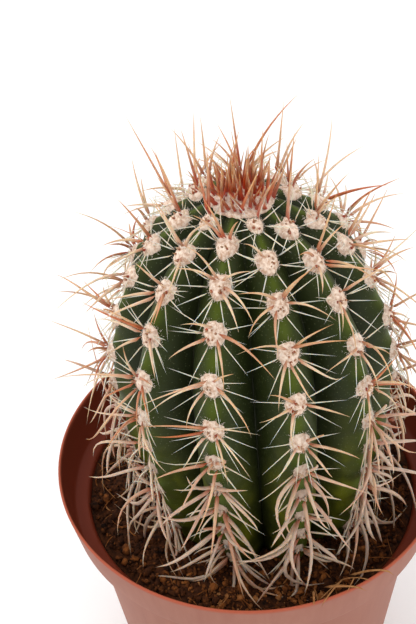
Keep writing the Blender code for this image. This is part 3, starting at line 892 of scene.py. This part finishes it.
class StemSettings(bpy.types.PropertyGroup):
    columns: count("Columns", "Columns of faces on each rib", 40, 6, 60)
    rows: count("Rows", "Rows of faces from apex to foot", 170, 20, 300)
    # Furrow and shade are painted shade, deepest in the furrow. Flank is the skin's own green.
    furrow: colour("Furrow", "Skin deep between two ribs", "#171C0A")
    shade: colour("Shade", "Skin low on a rib's flank", "#232B0C")
    flank: colour("Flank", "Skin of a rib's upper flank", "#343E0F")
    fresh: colour("Fresh", "Bright strip between two areoles", "#516013")
    olive: colour("Olive", "Older skin near the soil", "#5F6310")
    pores: colour("Pores", "Waxy pores", "#747B58")


class AreoleSettings(bpy.types.PropertyGroup):
    hairs: count("Hairs", "Loose hairs on each cushion", 190, 0, 300)
    # Lit wool is painted light on the hairs. The middle and shade colours are painted shade on the
    # pads and in their folds.
    wool: colour("Wool", "Lit wool", "#FFF6EC")
    wool_middle: colour("Wool between", "Wool between its tufts", "#F6E2D0")
    wool_shade: colour("Wool shade", "Wool in its folds", "#CBA68C")
    wool_old: colour("Old wool", "Weathered wool near the soil", "#B8A08E")


class SpineSettings(bpy.types.PropertyGroup):
    central: amount("Central length", "Stout spines", 15.6 * MM, unit="LENGTH")
    central_girth: amount("Central girth", "Diameter at the foot", 0.84 * MM, unit="LENGTH")
    radial: amount("Radial length", "Thin spines", 10.5 * MM, unit="LENGTH")
    radial_girth: amount("Radial girth", "Diameter at the foot", 0.35 * MM, unit="LENGTH")
    young_growth: amount("Young growth", "Extra length near the crown", 2.5 * MM, unit="LENGTH")
    tuft: count("Tuft", "Spines over the apex", 74, 0, 200)
    cream: colour("Cream", "Thin spines", "#E4D4C1")
    tan: colour("Tan", "Stout spines", "#C9A883")
    tip: colour("Tip", "Rust at a stout spine's tip", "#B0602C")
    foot: colour("Foot", "Rust where a spine leaves the wool", "#A04E28")
    young: colour("Young", "Fresh spines", "#B25420")
    young_foot: colour("Young foot", "Fresh spines at the wool", "#C62209")
    weathered: colour("Weathered", "Old spines near the soil", "#B8A08D")


class StageSettings(bpy.types.PropertyGroup):
    lens: amount("Lens", "Focal length in millimetres", 59.86)
    floor: colour("Floor", "The floor's paint", "#FFFFFF")
    sky: amount("Sky", "Light from all round", 1.05)
    front: amount("Front", "Share of the sky's light in front", 0.6, subtype="FACTOR")
    key: amount("Key", "Soft box, in watts", 3.5)
    fill: amount("Fill", "Second soft box, in watts", 1.5)


# Pieces


class CACTUS_OT_pot(bpy.types.Operator):
    """Turn the thin moulded pot and drill its base"""

    bl_idname = "cactus.pot"
    bl_label = "Pot"

    def execute(self, context):
        look = context.scene.cactus_pot
        bead = WALL / 2
        lip = [
            (RIM_RADIUS - bead - bead * math.cos(turn), POT_HEIGHT - bead + bead * math.sin(turn))
            for turn in np.linspace(0, math.pi, 7)
        ]
        # From the floor's middle up the inside, over the lip and down the outside, with two or
        # three points round each moulded corner
        profile = [
            (0, BASE_THICKNESS),
            (BASE_RADIUS - WALL - 3 * MM, BASE_THICKNESS),
            (BASE_RADIUS - WALL - 1 * MM, BASE_THICKNESS + 0.3 * MM),
            (BASE_RADIUS - WALL, BASE_THICKNESS + 1.3 * MM),
            (BODY_TOP_RADIUS - WALL - 0.4 * MM, SHELF - 1.6 * MM),
            (BODY_TOP_RADIUS - WALL, SHELF - 0.6 * MM),
            (BODY_TOP_RADIUS - WALL + 0.9 * MM, SHELF),
            (COLLAR_FOOT_RADIUS - WALL - 0.9 * MM, SHELF),
            (COLLAR_FOOT_RADIUS - WALL - 0.1 * MM, SHELF + 0.8 * MM),
            (RIM_RADIUS - WALL - 0.2 * MM, POT_HEIGHT - 1.6 * MM),
            *lip,
            (RIM_RADIUS - 0.2 * MM, POT_HEIGHT - 1.6 * MM),
            (COLLAR_FOOT_RADIUS + 0.05 * MM, SHELF + 0.5 * MM),
            (COLLAR_FOOT_RADIUS - 0.3 * MM, SHELF - 0.3 * MM),
            (COLLAR_FOOT_RADIUS - 1.1 * MM, SHELF - 0.7 * MM),
            (BODY_TOP_RADIUS + 1.0 * MM, SHELF - 1.0 * MM),
            (BODY_TOP_RADIUS + 0.2 * MM, SHELF - 1.6 * MM),
            (BODY_TOP_RADIUS - 0.1 * MM, SHELF - 2.6 * MM),
            (BASE_RADIUS, 1.6 * MM),
            (BASE_RADIUS - 0.5 * MM, 0.4 * MM),
            (BASE_RADIUS - 1.6 * MM, 0),
            (0, 0),
        ]
        mesh = bpy.data.meshes.new("pot_wall")
        points = [(radius, 0, height) for radius, height in profile]
        mesh.from_pydata(points, [(i, i + 1) for i in range(len(points) - 1)], [])
        pot = bpy.data.objects.new("pot_wall", mesh)
        context.scene.collection.objects.link(pot)
        apply_modifier(
            pot,
            "SCREW",
            steps=look.steps,
            render_steps=look.steps,
            use_merge_vertices=True,
            merge_threshold=0.01 * MM,
        )
        for i in range(DRAIN_HOLES):
            turn = math.tau * (i + 0.5) / DRAIN_HOLES
            bpy.ops.object.select_all(action="DESELECT")
            bpy.ops.mesh.primitive_cylinder_add(
                vertices=32,
                radius=DRAIN_RADIUS,
                depth=10 * MM,
                location=DRAIN_RING_RADIUS * Vector((math.cos(turn), math.sin(turn), 0)),
            )
            drill = context.active_object
            apply_modifier(pot, "BOOLEAN", operation="DIFFERENCE", object=drill)
            bpy.data.objects.remove(drill)
        place = np.array([vert.co for vert in pot.data.vertices])
        facing = np.array([vert.normal for vert in pot.data.vertices])
        from_axis = np.hypot(place[:, 0], place[:, 1]).clip(MM)
        outward = (place[:, :2] * facing[:, :2]).sum(1) / from_axis
        # Faces that look out or down take the paler outside colour, painted sheen over dried water.
        # The rest take the darker inside colour, which is painted shade.
        outside = np.clip(outward + np.clip(-facing[:, 2], 0, 1), 0, 1)
        # The lip's top edge takes the rim colour: a painted glow of light through the thin plastic.
        rim = np.clip((place[:, 2] - POT_HEIGHT + 0.9 * MM) / (0.6 * MM), 0, 1)
        for name, values in (("outside", outside), ("rim", rim)):
            layer = pot.data.attributes.new(name, "FLOAT", "POINT")
            layer.data.foreach_set("value", values.astype(np.float32))
        pot.data.materials.append(polypropylene())
        pot.data.shade_smooth()
        pot.data.set_sharp_from_angle(angle=math.radians(50))
        seat(pot, ["pot"])
        return {"FINISHED"}


class CACTUS_OT_soil(bpy.types.Operator):
    """Bed the stem in crumbly soil, with crumbs and strands of coir on top"""

    bl_idname = "cactus.soil"
    bl_label = "Soil"

    def bed(self, sculpt):
        """The body of the soil: a socket for the foot, the open top, the wall and the floor."""
        socket_rings, top_rings, wall_rings = 10, 38, 6
        ball = Ball(300, socket_rings + top_rings + wall_rings)
        azimuth = ball.turn
        station = ball.station
        above_foot = CREST_LENGTH - np.interp(-SOIL_LEVEL - 3 * MM, -CREST_Z, CREST_S)
        share = np.clip(station / socket_rings, 0, 1)
        s = CREST_LENGTH - share * above_foot
        out = skin_frame(np.minimum(s, CREST_LENGTH - 0.6 * MM), azimuth)[0]
        socket = skin_point(s, azimuth) + GAP * out
        edge = skin_point(np.full_like(s, CREST_LENGTH - above_foot), azimuth)[:, :2]
        edge = edge * (1 + GAP / np.linalg.norm(edge, axis=1))[:, None]
        most = pot_inside(np.full_like(s, SHELF - 2 * MM)) - GAP
        wall = unit(edge) * most[:, None]
        across = np.clip((station - socket_rings) / top_rings, 0, 1)
        level = edge + (wall - edge) * across[:, None]
        height = soil_top(level[:, 0], level[:, 1]) - 1.2 * MM * across**6
        height = height + self.lumps(level) * np.sin(math.pi * np.clip(across, 0.02, 0.98)) ** 0.3
        points = np.column_stack([level, height])
        down = np.clip((station - socket_rings - top_rings) / (wall_rings - 2), 0, 1)
        low = BASE_THICKNESS + GAP
        depth = (SHELF - 3.2 * MM) * (1 - down) + low * down
        lower = unit(edge) * (pot_inside(depth) - GAP - 1.0 * MM * (down > 0.9))[:, None]
        points = np.where(
            (station > socket_rings + top_rings)[:, None], np.column_stack([lower, depth]), points
        )
        points = np.where((station < socket_rings)[:, None], socket, points)
        points[station == ball.stations - 1, :2] *= 0.6
        points[station == ball.stations] = (0, 0, low)
        points[station == 0] = skin_point(CREST_LENGTH, 0.0) - (0, 0, GAP)
        sculpt.add(ball, points[None], tone=0.2)

    def lumps(self, level):
        """How far the crumbly surface stands off soil_top()."""
        found = []
        for x, y in level:
            spot = Vector((x, y, 0))
            rough = noise.noise(spot * per_metre(5.0)) * 1.0 * MM
            rough += noise.noise(spot * per_metre(2.2)) * 0.6 * MM
            found.append(rough)
        return np.array(found)

    def crumbs(self, sculpt, look):
        """Loose crumbs, paler towards the front as painted light."""
        rng = np.random.default_rng(21)
        ball = Ball(6, 4)
        count = look.crumbs
        turn, share = rng.uniform(0, math.tau, count), np.sqrt(rng.uniform(0, 1, count))
        outer = pot_inside(SHELF - 2 * MM) - 1.4 * MM
        foot = skin_point(np.full(count, np.interp(-SOIL_LEVEL, -CREST_Z, CREST_S)), turn)[:, :2]
        reach = np.linalg.norm(foot, axis=1) + 0.8 * MM
        radius = np.sqrt(reach**2 + share**2 * (outer**2 - reach**2))
        place = unit(foot) * radius[:, None]
        size = rng.lognormal(math.log(0.46), 0.5, count).clip(0.22, 1.9) * MM
        height = soil_top(place[:, 0], place[:, 1]) + self.lumps(place) + size * 0.25
        stretch = rng.uniform(0.5, 1.4, (count, 1, 3))
        jitter = 1 + rng.uniform(-0.38, 0.38, (count, len(ball.points), 1))
        shape = ball.points[None] * stretch * jitter * size[:, None, None]
        spin = np.array([Matrix.Rotation(a, 3, Vector(v)) for a, v in self.turns(rng, count)])
        shape = np.einsum("nij,nvj->nvi", spin, shape)
        points = shape + np.column_stack([place, height])[:, None]
        # Crumbs grow paler towards the front: painted light.
        front_light = np.clip((-place[:, 1] - 22 * MM) / (24 * MM), 0, 1)
        tone = (0.1 + 0.72 * rng.beta(1.6, 2.5, count)) * (0.62 + 0.65 * front_light)
        sculpt.add(ball, points, tone=tone)

    @staticmethod
    def turns(rng, count):
        """An angle and an axis for each crumb."""
        axes = unit(rng.normal(0, 1, (count, 3)))
        return zip(rng.uniform(0, math.tau, count), axes)

    def fibres(self, sculpt, look):
        """Strands of coir on the soil, and the few over the rim."""
        rng = np.random.default_rng(8)
        ball = Ball(4, 7)
        count = look.fibres
        turn, share = rng.uniform(0, math.tau, count), np.sqrt(rng.uniform(0, 1, count))
        inner, outer = 36 * MM, 50 * MM
        radius = inner + (outer - inner) * share
        x, y = radius * np.sin(turn), -radius * np.cos(turn)
        starts = np.column_stack([x, y, soil_top(x, y) + 0.9 * MM])
        aim = unit(np.column_stack([rng.normal(0, 1, (count, 2)), rng.uniform(-0.05, 0.3, count)]))
        bends = np.column_stack([rng.normal(0, 0.35, (count, 2)), rng.uniform(-0.3, 0.0, count)])
        lengths = rng.lognormal(math.log(4.5), 0.55, count).clip(1.5, 16) * MM
        centres = bent_paths(ball, starts, aim, bends, lengths)
        girth = rng.uniform(0.12, 0.3, count)[:, None] * MM
        radii = girth * (1 - 0.6 * ball.share)
        centres = keep_clear(centres, radii)
        sculpt.add(ball, tube_points(ball, centres, radii), tone=rng.uniform(0.4, 0.95, count))
        self.strays(sculpt, ball, rng)

    @staticmethod
    def strays(sculpt, ball, rng):
        """A few strands of coir that lie over the rim at the front."""
        count = STRAYS
        along = ball.share[None]
        turn = STRAY_TURN + rng.uniform(-0.14, 0.14, (count, 1))
        turn = turn + along * rng.uniform(-0.22, 0.22, (count, 1))
        inside = rng.uniform(3.0, 8.0, (count, 1)) * MM
        radius = RIM_RADIUS - inside + along * (inside + rng.uniform(-1.0, 2.5, (count, 1)) * MM)
        from_lip = (radius - RIM_RADIUS) / (7 * MM)
        height = POT_HEIGHT + 0.55 * MM - np.where(from_lip < 0, 5.5, 30) * MM * from_lip**2
        x, y = radius * np.sin(turn), -radius * np.cos(turn)
        girth = rng.uniform(0.15, 0.5, (count, 1)) * MM * (1 - 0.5 * along)
        points = tube_points(ball, np.stack([x, y, height], axis=-1), girth)
        sculpt.add(ball, points, tone=1.0)

    def execute(self, context):
        look = context.scene.cactus_soil
        finish = peat()
        bed = Sculpt(["tone"])
        self.bed(bed)
        bed.finish("soil_bed", [finish], "potting_soil", ["soil"])
        crumbs = Sculpt(["tone"])
        self.crumbs(crumbs, look)
        crumbs.finish("soil_crumbs", [finish], "potting_soil")
        fibres = Sculpt(["tone"])
        self.fibres(fibres, look)
        fibres.finish("coir_fibres", [finish], "potting_soil")
        return {"FINISHED"}


class CACTUS_OT_stem(bpy.types.Operator):
    """Grow the ribbed stem, swollen under each areole"""

    bl_idname = "cactus.stem"
    bl_label = "Stem"

    def execute(self, context):
        look = context.scene.cactus_stem
        ball = Ball(RIBS * look.columns, look.rows)
        s = ball.station / ball.stations * CREST_LENGTH
        azimuth = FIRST_RIB + ball.turn
        aside = from_crest(azimuth)
        rib = np.round((azimuth - FIRST_RIB) / RIB_ANGLE).astype(int) % RIBS
        numbers = np.linspace(-3, 14, 400)
        places = np.array([areole_place(number) for number in numbers])
        number = np.interp(s, places, numbers)
        phase = (number - (rib * PHYLLOTAXIS) % 1) % 1
        from_areole = np.minimum(phase, 1 - phase) * PITCH
        crown_fade = np.clip(s / (12 * MM), 0, 1)
        swell = np.exp(-((from_areole / (3.4 * MM)) ** 2)) * np.exp(-((aside / 0.5) ** 2))
        between = np.sin(math.pi * phase) ** 2
        dip = between * np.exp(-((aside / 0.6) ** 2))
        lift = crown_fade * (0.55 * swell - 0.3 * dip) * MM
        out = skin_frame(s, azimuth)[0]
        wave = [noise.noise(Vector(p) * per_metre(7)) for p in skin_point(s, azimuth)]
        lift = lift + 0.25 * MM * np.array(wave) * crown_fade
        lift = lift + 0.5 * MM * crown_fade * (1 - np.clip((1 - aside) / 0.16, 0, 1)) ** 2
        points = skin_point(s, azimuth) + lift[:, None] * out
        height = points[:, 2]
        strip = np.exp(-((aside / (0.1 + 0.12 * between)) ** 2))
        low_down = np.clip((152 * MM - height) / (35 * MM), 0, 1)
        values = {
            # crest is 1 on the crest and 0 in the furrow, where the skin is darkened as painted
            # shade.
            "crest": (1 - aside) ** 0.9,
            "fresh": strip * between * np.clip((height - 90 * MM) / (25 * MM), 0.2, 1) * 0.7,
            "low": low_down * np.clip(1 - np.abs(aside - 0.5) / 0.45, 0, 1),
        }
        sculpt = Sculpt(list(values))
        sculpt.add(ball, points[None], **values)
        sculpt.finish("stem_skin", [cactus_skin()], "green_skin", ["stem"])
        return {"FINISHED"}


class CACTUS_OT_areoles(bpy.types.Operator):
    """Grow the cushions and spines of every areole below the crown"""

    bl_idname = "cactus.areoles"
    bl_label = "Areoles"

    def execute(self, context):
        balls = areole_balls()
        finishes = [felted_wool(), dry_spine()]
        for rib in range(RIBS):
            fringe = Sculpt(AREOLE_VALUES)
            for number in areole_numbers(rib):
                if number < SINGLES_TOP:
                    continue
                if number >= FRINGE_TOP:
                    Areole(rib, number).grow(fringe, balls)
                    continue
                cluster = Sculpt(AREOLE_VALUES)
                Areole(rib, number).grow(cluster, balls)
                name = f"r{rib + 1:02d}_{math.ceil(number - SINGLES_TOP)}"
                replaced = [f"spine_cluster_{name}"]
                cluster.finish(f"areole_{name}", finishes, "wool_and_spines", replaced)
            name = f"r{rib + 1:02d}"
            replaced = [f"spine_fringe_{name}"]
            fringe.finish(f"areoles_{name}_low", finishes, "wool_and_spines", replaced)
        return {"FINISHED"}


class CACTUS_OT_crown(bpy.types.Operator):
    """Grow the youngest areoles and the upright tuft over the apex"""

    bl_idname = "cactus.crown"
    bl_label = "Crown"

    def execute(self, context):
        balls = areole_balls()
        crown = Sculpt(AREOLE_VALUES)
        for rib in range(RIBS):
            for number in areole_numbers(rib):
                if number < SINGLES_TOP:
                    Areole(rib, number).grow(crown, balls)
        apex_wool(crown, Ball(66, 14))
        apex_hairs(crown, balls["hair"])
        tuft = Spines()
        tuft_spines(tuft)
        tuft.draw(crown, balls["central"], SPINE)
        finishes = [felted_wool(), dry_spine()]
        crown.finish("crown_tuft", finishes, "wool_and_spines", ["crown"])
        return {"FINISHED"}


class CACTUS_OT_stage(bpy.types.Operator):
    """Set the camera, the pale floor and the soft lights"""

    bl_idname = "cactus.stage"
    bl_label = "Stage"

    def soft_box(self, context, name, watts, size, place, target):
        light = bpy.data.lights.new(name, "AREA")
        light.shape = "DISK"
        light.energy = watts
        light.size = size
        lamp = bpy.data.objects.new(name, light)
        context.scene.collection.objects.link(lamp)
        lamp.location = place
        lamp.rotation_euler = (Vector(target) - Vector(place)).to_track_quat("-Z", "Y").to_euler()

    def execute(self, context):
        look = context.scene.cactus_stage
        bpy.ops.object.select_all(action="DESELECT")
        bpy.ops.mesh.primitive_plane_add(size=40)
        floor = context.active_object
        floor.name = "floor"
        floor.data.materials.append(matt_paint())

        world = bpy.data.worlds.new("studio")
        context.scene.world = world
        world.use_nodes = True
        sky = world.node_tree.nodes["Background"]
        sky.inputs["Color"].default_value = (1, 1, 1, 1)
        direction = add_node(world.node_tree, "TexCoord").outputs["Generated"]
        depth = add_node(world.node_tree, "SeparateXYZ", {0: direction}).outputs["Y"]
        front, back = look.sky * look.front, look.sky
        glow = add_node(world.node_tree, "MapRange", {0: depth, 1: -0.8, 2: 0.2, 3: front, 4: back})
        world.node_tree.links.new(glow.outputs[0], sky.inputs["Strength"])
        middle = (0, 0, 140 * MM)
        self.soft_box(context, "key", look.key, 0.9, (-0.45, -0.15, 0.85), middle)
        self.soft_box(context, "fill", look.fill, 0.7, (0.5, -0.5, 0.55), middle)

        elevation, roll = math.radians(39.76), math.radians(-4.05)
        distance, target = 289.7 * MM, Vector((-9.83 * MM, 0, 156.39 * MM))
        back = Vector((0, -math.cos(elevation), math.sin(elevation)))
        right = Vector((1, 0, 0))
        up = back.cross(right)
        across = math.cos(roll) * right + math.sin(roll) * up
        upward = -math.sin(roll) * right + math.cos(roll) * up
        lens = bpy.data.cameras.new("camera")
        lens.lens = look.lens
        lens.sensor_width = 36
        lens.clip_start = 10 * MM
        camera = bpy.data.objects.new("camera", lens)
        context.scene.collection.objects.link(camera)
        camera.matrix_world = Matrix.Translation(target + distance * back) @ Matrix(
            (across, upward, back)
        ).transposed().to_4x4()
        context.scene.camera = camera
        context.scene.view_settings.view_transform = "Standard"
        return {"FINISHED"}


PIECES = (CACTUS_OT_pot, CACTUS_OT_soil, CACTUS_OT_stem, CACTUS_OT_areoles, CACTUS_OT_crown)
OPERATORS = (CACTUS_OT_stage, *PIECES)
SETTINGS = {
    "cactus_pot": PotSettings,
    "cactus_soil": SoilSettings,
    "cactus_stem": StemSettings,
    "cactus_areoles": AreoleSettings,
    "cactus_spines": SpineSettings,
    "cactus_stage": StageSettings,
}


class CACTUS_PT_sidebar(bpy.types.Panel):
    bl_label = "Potted column cactus"
    bl_idname = "CACTUS_PT_sidebar"
    bl_space_type = "VIEW_3D"
    bl_region_type = "UI"
    bl_category = "Cactus"

    def draw(self, context):
        for operator in OPERATORS:
            self.layout.operator(operator.bl_idname)
        for name, group in SETTINGS.items():
            box = self.layout.box()
            for prop in group.__annotations__:
                box.prop(getattr(context.scene, name), prop)


def register():
    for group in SETTINGS.values():
        bpy.utils.register_class(group)
    for name, group in SETTINGS.items():
        setattr(bpy.types.Scene, name, bpy.props.PointerProperty(type=group))
    for operator in OPERATORS:
        bpy.utils.register_class(operator)
    bpy.utils.register_class(CACTUS_PT_sidebar)


def unregister():
    bpy.utils.unregister_class(CACTUS_PT_sidebar)
    for operator in reversed(OPERATORS):
        bpy.utils.unregister_class(operator)
    for name in SETTINGS:
        delattr(bpy.types.Scene, name)
    for group in SETTINGS.values():
        bpy.utils.unregister_class(group)


def main():
    register()
    for operator in OPERATORS:
        area, name = operator.bl_idname.split(".")
        getattr(getattr(bpy.ops, area), name)()


if __name__ == "__main__":
    main()
